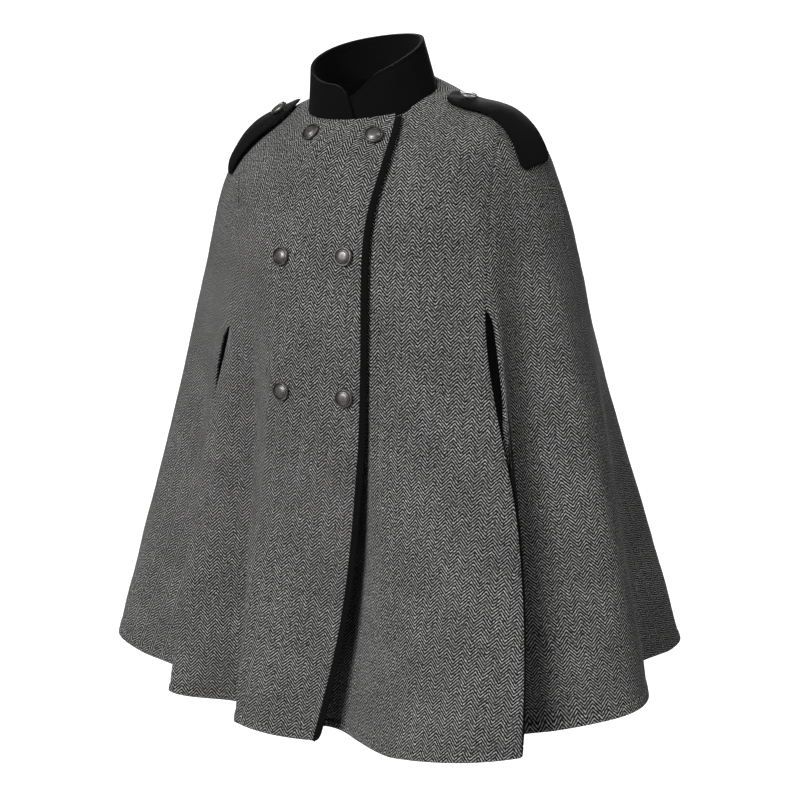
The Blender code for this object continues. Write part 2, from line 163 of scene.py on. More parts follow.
# The dip at a seam, the turned-up hem with its stitched groove, and the unevenness of soft wool
SEAM_DIP = 0.0006
SEAM_REACH = 0.0050
HEM_DEPTH = 0.010
HEM_RISE = 0.0010
HEM_EASE = 0.003
HEM_GROOVE = 0.0009
HEM_GROOVE_HALF = 0.0012
RIPPLE = 0.0011
RIPPLE_SIZE = 0.055
CRUMPLE = 0.00028
CRUMPLE_SIZE = 0.014

# Arm slits in the princess seams, widest in their upper half
SLIT_TOP = 0.39
SLIT_BOTTOM = 0.60
SLIT_GAP = 0.011
SLIT_SKEW = 0.6

# How far a side panel sinks beside the front's edge, and runs on behind it below the slit
SIDE_SINK = 0.0090
SIDE_SINK_FROM = 0.38
SIDE_SINK_OVER = 0.2
SIDE_SINK_DEGREES = 9
SIDE_UNDER = 0.0070
SIDE_UNDER_FROM = 0.49
SIDE_UNDER_OVER = 0.14

# Strip along the free front edge, with a crowned face and a rounded corner at the hem
BAND_WIDTH = 0.0078
BAND_UNDER = 0.0004
BAND_TOP = 0.012
BAND_CORNER = 0.016
BAND_CORNER_TURNS = range(0, 91, 10)
BAND_LEAST = 0.35
BAND_CROWN = 0.0014
BAND_WALL = 0.0030
BAND_ROUNDING = 0.0005
BAND_ROW_STEP = 0.005
BAND_COLUMNS = 10

# Stand collar: the oval of its top edge, and how that edge rises ahead, sideways and twice round
Rim = namedtuple("Rim", "half_width middle front back")
COLLAR_RIM = Rim(0.0610, -0.0064, 0.0560, 0.0600)
COLLAR_RIM_Z = 0.0191
COLLAR_RIM_AHEAD = -0.0237
COLLAR_RIM_SIDE = 0.0051
COLLAR_RIM_TWICE = -0.0031

# How much of the collar's height is left, by the degrees round from its outer end
Kept = namedtuple("Kept", "down share")
COLLAR_KEPT = (
    Kept(0, 0.12), Kept(1.5, 0.36), Kept(4, 0.62), Kept(8, 0.80), Kept(14, 0.94), Kept(22, 1),
    Kept(328, 1), Kept(343, 0.90), Kept(353, 0.755), Kept(363, 0.64), Kept(373, 0.57), Kept(383, 0.50),
)

# The collar's two ends, the inner one tucked behind, its seat on the cloth and its stitched groove
COLLAR_START = 13
COLLAR_TURN = 383
COLLAR_TUCK = TRIM_WALL + 0.0006
COLLAR_TUCK_FROM = 308
COLLAR_TUCK_OVER = 55
COLLAR_SEAT = -0.0030
COLLAR_INSET = 0.0008
COLLAR_END_TURNS = (0, 0.4, 1, 2, 3.2, 4.6, 6.4, 8.5, 11, 14, 17, 20)
COLLAR_COLUMNS = 160
COLLAR_LEVELS = (
    1, 0.985, 0.96, 0.93, 0.91, 0.895, 0.88, 0.865, 0.845, 0.80, 0.7, 0.6, 0.5, 0.4, 0.3, 0.2, 0.1, 0,
)
COLLAR_ROUNDING = 0.0014
COLLAR_ROUNDING_STEPS = 3
COLLAR_STITCH = 0.0045
COLLAR_STITCH_HALF = 0.0010
COLLAR_STITCH_DEPTH = 0.0005

# Shoulder tabs: the line they follow, and each one's side, start, end and turn towards the front
TAB_LINE = (Line(0.03, 97), Line(0.08, 92), Line(0.14, 87.5), Line(0.235, 84))
Tab = namedtuple("Tab", "side start end turned")
TABS = {"left": Tab(1, 0.028, 0.234, 0), "right": Tab(-1, 0.033, 0.198, 16)}
TAB_LENGTH = 0.135
TAB_WALL = 0.0040
TAB_LIFT = 0.0006
TAB_ARCH = 0.0035
TAB_NECK_HALF = 0.022
TAB_OUTER_HALF = 0.025
TAB_CORNER = 0.010
TAB_LEAST = 0.12
TAB_SHELL = 0.0020
TAB_EDGE = 0.0040
TAB_ROWS = 60
TAB_COLUMNS = 22

# Buttons: places, and the turned outline as steps inwards and upwards from the rim of the disc
Place = namedtuple("Place", "angle down")
FRONT_BUTTONS = (
    Place(-20.5, 0.034), Place(29.7, 0.043), Place(-14.5, 0.238), Place(13.6, 0.237),
    Place(-10.5, 0.438), Place(14.2, 0.442),
)
TAB_BUTTONS = {"left": Place(93.5, 0.067), "right": Place(-77.5, 0.067)}
BUTTON_SEAT = 0.0004
BUTTON_RADIUS = 0.0099
BUTTON_SIDES = 48
BUTTON_DISC = 0.0014
BUTTON_DISC_AT = 0.0024
BUTTON_SHANK_INSET = 0.0072
BUTTON_SHANK = 0.0015
Cut = namedtuple("Cut", "inwards up")
BUTTON_CUTS = (
    Cut(0.0003, 0.0006), Cut(0.0006, 0.0004), Cut(0.0006, 0.0), Cut(0.0004, -0.0006),
    Cut(0.0005, 0.0), Cut(0.0004, 0.0006), Cut(0.0008, 0.0004), Cut(0.0004, -0.0003),
    Cut(0.0004, 0.0004), Cut(0.0012, 0.0004), Cut(0.0013, 0.0002), Cut(0.0012, 0.0001),
)
BUTTON_LEVEL = 0.9
BUTTON_ROUNDING = 0.00012
BUTTON_EDGE_ANGLE = 28

# The button's dark grooves, from and to that far out, and the cut whose ring carries beads
BUTTON_GROOVES = ((0.0074, 0.00845), (0.00585, 0.00635))
BEAD_CUT = 2
BEAD_RISE = 0.00025

# Worked buttonholes at the free front edge, seen beside the buttons of the wearer's left column
BUTTONHOLES = (2, 4, 6)
BUTTONHOLE_LENGTH = 0.022
BUTTONHOLE_HALF = 0.0017
BUTTONHOLE_SIDES = 32
BUTTONHOLE_THREAD = 0.0006
BUTTONHOLE_THREAD_SIDES = 8
BUTTONHOLE_SHIFT = -0.0045
BUTTONHOLE_LIFT = 0.0003

# The flat cut of each sheet that shows: width, length and area, in metres
Cloth = namedtuple("Cloth", "width length area")

# Herringbone: width of a column, how far apart its stripes are along the grain and across it, how far
# they sway, and how much yarn and flecks break them up
CUT_MAP = "cut"
WEAVE_COLUMN = 0.0084
WEAVE_DOWN = 0.00367
WEAVE_ACROSS = 0.00334
WEAVE_SWAY = 0.0016
WEAVE_YARN = 1.4
WEAVE_FLECK = 3.0

# Noises of the materials, in grains a metre
Grain = namedtuple("Grain", "scale detail roughness")
SWAY_ACROSS = Grain(95.0, 2.0, 0.5)
SWAY_DOWN = Grain(140.0, 2.0, 0.5)
YARN = Grain(900.0, 2.0, 0.7)
FLECK = Grain(430.0, 2.0, 0.6)
WORN = Grain(120.0, 2.0, 0.5)
PATCHES = Grain(16.0, 3.0, 0.5)
BRIGHT = Grain(520.0, 3.0, 0.7)
FUZZ = Grain(1500.0, 2.0, 0.5)
NAP = Grain(1100.0, 3.0, 0.6)
CLOUDS = Grain(45.0, 3.0, 0.5)
STAIN = Grain(320.0, 4.0, 0.65)
SCRATCHES = Grain(2400.0, 2.0, 0.5)
WINDING = Grain(1400.0, 1.0, 0.5)
PAINT = Grain(3.0, 2.0, 0.5)
FUZZ_SHARE = 0.5
SCRATCH_SHARE = 0.4

# Smooth steps in the noises: from and to that noise, and the values at its two ends
Step = namedtuple("Step", "low high to_low to_high")
STRIPE_STEP = Step(0.15, 0.95, 0.0, 1.0)
WORN_STEP = Step(0.45, 0.8, 0.0, 0.5)
PATCH_STEP = Step(0.25, 0.75, 0.85, 1.12)
BRIGHT_STEP = Step(0.3, 0.7, 0.0, 1.0)
NAP_STEP = Step(0.35, 0.8, 0.0, 1.0)
CLOUD_STEP = Step(0.2, 0.8, 0.5, 1.0)
STAIN_STEP = Step(0.32, 0.72, 0.0, 1.0)
POLISH_STEP = Step(0.3, 0.7, 0.52, 0.38)

# Fine relief of the materials: how strong, and how deep in metres
Relief = namedtuple("Relief", "strength depth")
TWEED_RELIEF = Relief(0.55, 0.0006)
WOOL_RELIEF = Relief(0.5, 0.0005)
SILVER_RELIEF = Relief(0.35, 0.0002)
THREAD_RELIEF = Relief(0.6, 0.0003)

# Colours of the materials, as their dark and light tones
Tones = namedtuple("Tones", "dark light")
TWEED_WHITE = Tones((0.11, 0.11, 0.108), (0.58, 0.575, 0.565))
TWEED_BLACK = Tones((0.001, 0.001, 0.001), (0.008, 0.008, 0.008))
TWEED_WORN = (0.075, 0.075, 0.074, 1)
BLACK_WOOL = Tones((0.0010, 0.0010, 0.0012), (0.0060, 0.0060, 0.0068))
INNER_FACE = Tones((0.003, 0.003, 0.0033), (0.009, 0.009, 0.010))
RUBBED_SILVER = Tones((0.11, 0.107, 0.104), (0.26, 0.253, 0.245))
TARNISHED_SILVER = Tones((0.012, 0.012, 0.011), (0.035, 0.034, 0.033))
THREAD = Tones((0.03, 0.03, 0.03), (0.16, 0.16, 0.155))
STUDIO_WHITE = Tones((0.93, 0.93, 0.93), (0.9486, 0.9486, 0.9486))

# Camera
CAMERA_TURN = 30
CAMERA_RISE = 12.5
CAMERA_DISTANCE = 2.1
CAMERA_AIM = Vector((0.0276, 0.0160, -0.354))
CAMERA_LENS = 85.9
CAMERA_SENSOR = 36

# Studio: planes that far behind the cape and above the origin, and lamps at a turn and a rise
FLOOR_PLACE = (0.0, -4.6)
FLOOR_SIZE = 6
BACKDROP_PLACE = (8.0, -2.0)
BACKDROP_SIZE = 5
BACKDROP_GLOW = 0.4
Lamp = namedtuple("Lamp", "name turn rise power")
LAMPS = (Lamp("Key", -5, 28, 3.75), Lamp("Side", 95, 45, 0.9), Lamp("Rear", 205, 20, 2.4))
LAMP_SOFTNESS = 24
FILL_POWER = 0.12


def blended(rows, down, name):
    """A column of a table at that place, as a smooth curve through its rows."""
    last = len(rows) - 1
    k = max(0, min(last - 1, sum(row.down <= down for row in rows) - 1))
    run = rows[k + 1].down - rows[k].down
    y0, y1 = getattr(rows[k], name), getattr(rows[k + 1], name)

    def slope(i):
        low, high = max(0, i - 1), min(last, i + 1)
        rise = getattr(rows[high], name) - getattr(rows[low], name)
        return rise / (rows[high].down - rows[low].down)

    t = (down - rows[k].down) / run
    held = y0 * (1 + 2 * t) * (1 - t) ** 2 + y1 * t * t * (3 - 2 * t)
    return held + run * t * (1 - t) * (slope(k) * (1 - t) - slope(k + 1) * t)


def eased(x):
    """0 below 0, 1 above 1, and smooth between."""
    x = max(0.0, min(1.0, x))
    return x * x * (3 - 2 * x)


def rounding(x):
    """How much is left of a corner at that share of its radius."""
    return sqrt(max(0.0, 1 - x * x))


def grown(start, down):
    """How much of a fold shows there: nothing at its start, all of it at the hem, and still growing."""
    return eased((down - start) / (FOLD_END - start)) / eased((1 - start) / (FOLD_END - start))


@lru_cache(maxsize=None)
def ring_at(down):
    """The ring at that place down the cloth."""
    return Ring(down, *[blended(RINGS, down, name) for name in Ring._fields[1:]])


@lru_cache(maxsize=None)
def folds_at(down, on_overlap):
    """Where the folds lie at that place down, and how far each reaches."""
    below_chest = max(0.0, (down - CHEST) / (1 - CHEST)) ** 2
    folds = OVERLAP_FOLDS if on_overlap else FOLDS
    places = [fold.chest_angle + (fold.angle - fold.chest_angle) * below_chest for fold in folds]
    return places, [fold.reach * grown(fold.start, down) for fold in folds]


def fold_reach(angle, down, on_overlap):
    """How far the folds push the cloth out at that place."""
    places, reaches = folds_at(down, on_overlap)
    turned = (angle + 180) % 360 - 180
    after = next((i for i, place in enumerate(places) if place > turned), 0)
    span = (places[after] - places[after - 1]) % 360
    t = eased(((turned - places[after - 1]) % 360) / span)
    return reaches[after - 1] + (reaches[after] - reaches[after - 1]) * t


def hollow_depth(angle, down, lapped):
    """How far the hollows push the cloth in at that place."""
    turned = (angle + 180) % 360 - 180
    depth = 0.0
    for hollow in HOLLOWS:
        if hollow.under and lapped:
            continue
        near = eased(1 - abs(turned - hollow.angle) / hollow.round_reach)
        depth += hollow.depth * near * eased(1 - abs(down - hollow.down) / hollow.down_reach)
    return depth


def body_point(angle, down, lapped=False):
    """A point of the cloth's outer face. lapped gives the front that lies on top."""
    ring = ring_at(down)
    out, ahead = sin(radians(angle)), cos(radians(angle))
    depth, z_end = (ring.front, ring.z_front) if ahead > 0 else (ring.back, ring.z_back)
    reach = fold_reach(angle, down, lapped and OVERLAP_FOLDS_FROM < angle < OVERLAP_FOLDS_TO)
    reach -= hollow_depth(angle, down, lapped)
    radius = ring.half_width * depth / hypot(ring.half_width * ahead, depth * out) + reach
    x = radius * out
    share = eased(abs(ahead) / ring.hold) / eased(1 / ring.hold)
    share += (abs(ahead) - share) * ring.level
    z = ring.z_side + (z_end - ring.z_side) * share
    z += CREST_RISE * max(0.0, reach) + ring.tilt * x
    return Vector((x, ring.middle - radius * ahead, z))


def outward(angle, down, lapped=False):
    """The direction that points straight out of the cloth there."""
    lower = body_point(angle, down + SLOPE_DOWN, lapped) - body_point(angle, down - SLOPE_DOWN, lapped)
    left, right = (body_point(angle + turn, down, lapped) for turn in (SLOPE_ROUND, -SLOPE_ROUND))
    return lower.cross(left - right).normalized()


def raised(angle, down, lift, lapped=False):
    """A point that far out from the cloth's outer face."""
    return body_point(angle, down, lapped) + outward(angle, down, lapped) * lift


def degrees_for(distance, angle, down, lapped=False):
    """The angle that covers a distance along the cloth, round its ring."""
    degree = body_point(angle + 0.5, down, lapped) - body_point(angle - 0.5, down, lapped)
    return distance / degree.length


def line_angle(line, down):
    """The angle of a seam or edge, held at its first value above its first row."""
    return blended(line, max(down, line[0].down), "angle")


def edge(line, gap, lapped=False):
    """An edge along a line, moved by a gap towards the wearer's left, or right if it is negative."""
    def angle_at(down):
        angle = line_angle(line, down)
        return angle + degrees_for(gap(down) if callable(gap) else gap, angle, down, lapped)
    return angle_at


def slit_width(down):
    """How far an arm slit stands open."""
    along = (down - SLIT_TOP) / (SLIT_BOTTOM - SLIT_TOP)
    return SLIT_GAP * sqrt(sin(pi * along ** SLIT_SKEW)) if 0 < along < 1 else 0.0


def ripples(point):
    """Small unevenness of soft wool, the same on both sides of a seam."""
    wide = noise.noise(point / RIPPLE_SIZE)
    fine = noise.noise(point / CRUMPLE_SIZE + Vector((7, 3, 1)))
    return RIPPLE * wide + CRUMPLE * fine


def groove(distance, place, half):
    """1 at the bottom of a groove, 0 beyond its sides."""
    return eased(1 - abs(distance - place) / half)


def hem_lift(distance):
    """The turned-up hem is a little thicker, and its stitching pulls a groove into it."""
    stitched = HEM_GROOVE * groove(distance, HEM_DEPTH, HEM_GROOVE_HALF)
    return HEM_RISE * eased((HEM_DEPTH - distance) / HEM_EASE) - stitched


def seam_lift(distance):
    """The cloth dips where it goes into a seam."""
    return -SEAM_DIP * (1 - eased(distance / SEAM_REACH))


def down_rows(first=0.0):
    """Places down the cloth for the rows of a sheet, close together at the hem."""
    count = round((1 - first) * CLOTH_LENGTH / ROW_STEP)
    close = [1 - step / CLOTH_LENGTH for step in HEM_STEPS]
    even = [first + (1 - first) * k / count for k in range(count)]
    return [down for down in even if down < close[-1] - HEM_CLEAR] + close[::-1]


def across_shares(width, columns):
    """Shares of the way across a row, close together at both edges."""
    squeeze = min(1.0, width / NARROW_ROW)
    close = [step * squeeze / width for step in EDGE_STEPS]
    inner = columns - 2 * len(close) + 1
    middle = [close[-1] + (1 - 2 * close[-1]) * k / inner for k in range(1, inner)]
    return close + middle + [1 - share for share in close[::-1]]


def rolled_out(row, normals):
    """A row of points rolled out flat by itself: where each lands, and which way each step runs."""
    steps = [b - a for a, b in zip(row, row[1:])]
    heading, places, headings = 0.0, [Vector((0, 0))], []
    for k, step in enumerate(steps):
        if k:
            normal = normals[k]
            before = steps[k - 1] - normal * steps[k - 1].dot(normal)
            beyond = step - normal * step.dot(normal)
            heading += atan2(normal.dot(before.cross(beyond)), before.dot(beyond))
        headings.append(heading)
        places.append(places[-1] + Vector((cos(heading), sin(heading))) * step.length)
    return places, headings + headings[-1:]


def fitted(places, targets):
    """The turn and the two middles that lay one row of flat points on another as closely as they can."""
    middle = sum(places, Vector((0, 0))) / len(places)
    goal = sum(targets, Vector((0, 0))) / len(targets)
    across = sum((a - middle).cross(b - goal) for a, b in zip(places, targets))
    along = sum((a - middle).dot(b - goal) for a, b in zip(places, targets))
    return atan2(across, along), middle, goal


def unrolled(grid, normals):
    """Where each point lies on the flat cut: each row rolled out, then laid below the one above it."""
    flat, headings = [], []
    for i, row in enumerate(grid):
        places, ways = rolled_out(row, normals[i])
        turn = 0.0
        if i:
            targets = []
            for j, point in enumerate(row):
                k = min(j, len(row) - 2)
                along = (grid[i - 1][k + 1] - grid[i - 1][k]).normalized()
                drop = point - grid[i - 1][j]
                ahead = drop.dot(along)
                below = sqrt(max(0.0, drop.length_squared - ahead * ahead))
                way = Vector((cos(headings[j]), sin(headings[j])))
                targets.append(flat[i - 1][j] + way * ahead + Vector((way.y, -way.x)) * below)
            turn, middle, goal = fitted(places, targets)
            spin = Matrix.Rotation(turn, 2)
            places = [goal + spin @ (place - middle) for place in places]
        flat.append(places)
        headings = [way + turn for way in ways]
    return flat


def along_grain(flat, grain):
    """Turns a flat cut so that the line at its grain, from a quarter down to the hem, runs down."""
    low = flat[-1][round(grain * (len(flat[-1]) - 1))]
    high = flat[len(flat) // 4][round(grain * (len(flat[0]) - 1))]
    run = low - high
    spin = Matrix.Rotation(-pi / 2 - atan2(run.y, run.x), 2)
    return [[spin @ (place - high) for place in row] for row in flat]


def deselect_all():
    """Leaves nothing selected."""
    for item in bpy.context.selected_objects:
        item.select_set(False)


def activate(item):
    """Makes a piece the only selected one, and the active one."""
    deselect_all()
    item.select_set(True)
    bpy.context.view_layer.objects.active = item


def apply_all(item):
    """Applies every modifier of a piece, in order."""
    activate(item)
    for modifier in list(item.modifiers):
        bpy.ops.object.modifier_apply(modifier=modifier.name)


def sheet_mesh(name, grid, flat, materials):
    """A sheet from a grid of points, rows running down and columns towards the wearer's left."""
    rows, columns = len(grid), len(grid[0])
    vertices = [point for row in grid for point in row]
    faces = []
    for i in range(rows - 1):
        for j in range(columns - 1):
            k = i * columns + j
            faces.append((k, k + columns, k + columns + 1, k + 1))
    mesh = bpy.data.meshes.new(name)
    mesh.from_pydata(vertices, [], faces)
    cut = mesh.uv_layers.new(name=CUT_MAP)
    places = [place for row in flat for place in row]
    for loop in mesh.loops:
        cut.data[loop.index].uv = places[loop.vertex_index]
    for material in materials:
        mesh.materials.append(material)
    made = bpy.data.objects.new(name, mesh)
    bpy.context.scene.collection.objects.link(made)
    return made


def thickened(item, wall, roundness, segments=2):
    """Gives a sheet its wall, inwards, and rounds the wall's edges."""
    solidify = item.modifiers.new("Wall", "SOLIDIFY")
    solidify.thickness = wall
    solidify.offset = -1
    solidify.use_even_offset = False
    solidify.material_offset = 1
    solidify.material_offset_rim = 0
    bevel = item.modifiers.new("Edge", "BEVEL")
    bevel.width = roundness
    bevel.segments = segments
    bevel.limit_method = "ANGLE"
    bevel.angle_limit = radians(WALL_EDGE_ANGLE)
    apply_all(item)
    item.data.shade_smooth()
    return item


def settle(item, node):
    """Puts a finished piece in a node's place."""
    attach(item, "root")
    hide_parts(node)


def tweed_panel(name, start, end, materials, first=0.0, dip=None, lapped=False, seams=(True, True)):
    """A sheet of tweed between two edges, from that far down; seams says which of the two are sewn."""
    panel = PANELS[name]
    points, normals, lifted = [], [], []
    rows = down_rows(first)
    for down in rows:
        low, high = start(down), end(down)
        width = (high - low) / max(1e-6, degrees_for(1.0, (low + high) / 2, down, lapped))
        angles = [low + (high - low) * share for share in across_shares(width, panel.columns)]
        points.append([body_point(angle, down, lapped) for angle in angles])
        normals.append([outward(angle, down, lapped) for angle in angles])
        lifted.append([dip(angle, down) if dip else 0.0 for angle in angles])
    grid = []
    for i, row in enumerate(points):
        steps = [(b - a).length for a, b in zip(row, row[1:])]
        from_start = [sum(steps[:j]) for j in range(len(row))]
        whole = from_start[-1]
        line = []
        for j, point in enumerate(row):
            lift = lifted[i][j] + ripples(point)
            lift += hem_lift((1 - rows[i]) * CLOTH_LENGTH)
            lift += seam_lift(from_start[j]) if seams[0] else 0.0
            lift += seam_lift(whole - from_start[j]) if seams[1] else 0.0
            line.append(point + normals[i][j] * lift)
        grid.append(line)
    flat = along_grain(unrolled(points, normals), panel.grain)
    made = sheet_mesh(f"{name}_cloth", grid, flat, materials)
    thickened(made, WALL, WALL_ROUNDING)
    settle(made, name)


def under_lap(angle, down):
    """The left front dips under the right one."""
    return -LAP * eased((line_angle(OVERLAP_EDGE, down) + DIP_FROM - angle) / DIP_OVER)


def sunk(beyond, down):
    """A side panel sinks beside the front's edge, less the more degrees it is beyond it."""
    started = eased((down - SIDE_SINK_FROM) / SIDE_SINK_OVER)
    return -SIDE_SINK * started * eased(1 - beyond / SIDE_SINK_DEGREES)


def past_slit(down):
    """How far beyond the princess seam a side panel starts: past the slit, and under the front below."""
    under = SIDE_UNDER * eased((down - SIDE_UNDER_FROM) / SIDE_UNDER_OVER)
    return SEAM_GAP / 2 + slit_width(down) - under


def make_cloth(tweed, inside):
    """The two fronts, the two side panels and the back."""
    half = SEAM_GAP / 2
    materials = (tweed, inside)

    def sunk_left(angle, down):
        return sunk(angle - line_angle(PRINCESS_LEFT, down), down)

    def sunk_right(angle, down):
        return sunk(line_angle(PRINCESS_RIGHT, down) - angle, down)

    rear_right = edge(SIDE_SEAM_RIGHT, -half)
    tweed_panel(
        "front_right", edge(PRINCESS_RIGHT, half), edge(OVERLAP_EDGE, -half, True), materials,
        lapped=True, seams=(True, False),
    )
    tweed_panel(
        "front_left", edge(UNDERLAP_EDGE, 0), edge(PRINCESS_LEFT, -half), materials,
        dip=under_lap, seams=(False, True),
    )
    tweed_panel(
        "side_left", edge(PRINCESS_LEFT, past_slit), edge(SIDE_SEAM_LEFT, -half), materials,
        SIDE_APEX, dip=sunk_left,
    )
    tweed_panel(
        "side_right", edge(SIDE_SEAM_RIGHT, half), edge(PRINCESS_RIGHT, lambda down: -past_slit(down)),
        materials, SIDE_APEX, dip=sunk_right,
    )
    tweed_panel("back", edge(SIDE_SEAM_LEFT, half), lambda down: rear_right(down) + 360, materials)


def plain_flat(grid):
    """A plain map of a narrow piece: metres along its rows and down its columns."""
    flat = []
    run = 0.0
    middle = len(grid[0]) // 2
    for i, row in enumerate(grid):
        run += (row[middle] - grid[i - 1][middle]).length if i else 0.0
        across, places = 0.0, []
        for j, point in enumerate(row):
            across += (point - row[j - 1]).length if j else 0.0
            places.append((across, -run))
        flat.append(places)
    return flat


def make_band(wool):
    """The strip beyond the right front's free edge, with a rounded corner at the hem."""
    def width(down):
        into_corner = max(0.0, (down - (1 - BAND_CORNER)) / BAND_CORNER)
        return SEAM_GAP / 2 + BAND_WIDTH * (BAND_LEAST + (1 - BAND_LEAST) * rounding(into_corner))

    inner_edge = edge(OVERLAP_EDGE, -BAND_UNDER, True)
    outer_edge = edge(OVERLAP_EDGE, width, True)
    count = round(CLOTH_LENGTH / BAND_ROW_STEP)
    rows = [BAND_TOP + (1 - BAND_CORNER - BAND_TOP) * k / count for k in range(count)]
    rows += [1 - BAND_CORNER * (1 - sin(radians(turn))) for turn in BAND_CORNER_TURNS]
    grid = []
    for down in rows:
        first, last = inner_edge(down), outer_edge(down)
        line = []
        for k in range(BAND_COLUMNS + 1):
            share = k / BAND_COLUMNS
            angle = first + (last - first) * share
            lift = BAND_CROWN * rounding(2 * share - 1) + ripples(body_point(angle, down, True))
            line.append(raised(angle, down, lift, True))
        grid.append(line)
    band = sheet_mesh("front_edge_band_wool", grid, plain_flat(grid), (wool, wool))
    thickened(band, BAND_WALL, BAND_ROUNDING)
    settle(band, "front_edge_band")


def rim_point(angle):
    """The collar's top edge, an oval of its own."""
    out, ahead = sin(radians(angle)), cos(radians(angle))
    depth = COLLAR_RIM.front if ahead > 0 else COLLAR_RIM.back
    radius = COLLAR_RIM.half_width * depth / hypot(COLLAR_RIM.half_width * ahead, depth * out)
    z = COLLAR_RIM_Z + COLLAR_RIM_AHEAD * ahead + COLLAR_RIM_SIDE * out
    z += COLLAR_RIM_TWICE * cos(radians(2 * angle))
    return Vector((radius * out, COLLAR_RIM.middle - radius * ahead, z))


def collar_point(turn, up):
    """turn runs from the outer end, on the wearer's right front, round the back to the tucked end."""
    angle = COLLAR_START - turn
    base = body_point(angle, 0)
    base.z += COLLAR_SEAT
    tucked = COLLAR_TUCK * eased((turn - COLLAR_TUCK_FROM) / COLLAR_TUCK_OVER)
    radial = Vector((base.x, base.y, 0)).normalized()
    foot = base - radial * COLLAR_INSET
    rim = rim_point(angle)
    kept = blended(COLLAR_KEPT, turn, "share")
    from_rim = (rim - foot).length * kept * (1 - up)
    pulled = COLLAR_STITCH_DEPTH * groove(from_rim, COLLAR_STITCH, COLLAR_STITCH_HALF)
    return foot.lerp(rim, up * kept) - radial * (tucked + pulled)


def make_collar(wool):
    """The stand collar, with more columns of points at its two ends."""
    near_end = COLLAR_END_TURNS[-1]
    span = COLLAR_TURN - 2 * near_end
    between = [near_end + span * k / COLLAR_COLUMNS for k in range(1, COLLAR_COLUMNS)]
    tucked_end = [COLLAR_TURN - turn for turn in COLLAR_END_TURNS]
    turns = tucked_end + between[::-1] + list(COLLAR_END_TURNS[::-1])
    grid = [[collar_point(turn, up) for turn in turns] for up in COLLAR_LEVELS]
    collar = sheet_mesh("collar_wool", grid, plain_flat(grid), (wool, wool))
    thickened(collar, TRIM_WALL, COLLAR_ROUNDING, COLLAR_ROUNDING_STEPS)
    settle(collar, "collar")


def tab_half_width(along):
    """Half the tab's width at a place from its neck end, 0, to its outer end, 1."""
    half = TAB_NECK_HALF + (TAB_OUTER_HALF - TAB_NECK_HALF) * along
    from_neck = along * TAB_LENGTH
    from_end = TAB_LENGTH - from_neck
    if from_neck < half:
        half *= max(TAB_LEAST, rounding(1 - from_neck / half))
    if from_end < TAB_CORNER:
        half -= TAB_CORNER * (1 - rounding(1 - from_end / TAB_CORNER))
    return half


def tab_lift(tab, down):
    """How far off the cloth the tab's under face is: it bridges the shoulder in a low arch."""
    return TAB_LIFT + TAB_ARCH * sin(pi * (down - tab.start) / (tab.end - tab.start))


def make_tabs(wool):
    """Both shoulder tabs, thin shells that are turned down to the cloth all round."""
    alongs = [0.5 - 0.5 * cos(pi * k / TAB_ROWS) for k in range(TAB_ROWS + 1)]
    across = [sin(pi / 2 * (2 * k / TAB_COLUMNS - 1)) for k in range(TAB_COLUMNS + 1)]
    for side, tab in TABS.items():
        grid = []
        for along in alongs:
            down = tab.start + (tab.end - tab.start) * along
            half = tab_half_width(along)
            centre = tab.side * (line_angle(TAB_LINE, down) - tab.turned)
            line = []
            for place in across:
                angle = centre + degrees_for(half * place, centre, down)
                inwards = min(half * (1 - abs(place)), along * TAB_LENGTH, (1 - along) * TAB_LENGTH)
                soft = rounding(1 - min(1.0, inwards / TAB_EDGE))
                lift = tab_lift(tab, down) + TAB_SHELL + (TAB_WALL - TAB_SHELL) * soft
                line.append(raised(angle, down, lift + ripples(body_point(angle, down))))
            grid.append(line)
        name = f"epaulette_{side}"
        made = sheet_mesh(f"{name}_wool", grid, plain_flat(grid), (wool, wool))
        thickened(made, TAB_SHELL, WALL_ROUNDING)
        settle(made, name)


def select_faces(item, chosen):
    """Selects just those faces of the active piece, from edit mode and back to it."""
    bpy.ops.object.mode_set(mode="OBJECT")
    for face in item.data.polygons:
        face.select = bool(chosen(face))
    for line in item.data.edges:
        line.select = False
    for vertex in item.data.vertices:
        vertex.select = False
    bpy.ops.object.mode_set(mode="EDIT")
    bpy.ops.mesh.select_mode(type="FACE")


def in_groove(face):
    """Whether a face of the button lies in one of its turned grooves."""
    reach = face.center.xy.length
    return face.center.z > BUTTON_DISC_AT and any(low < reach < high for low, high in BUTTON_GROOVES)


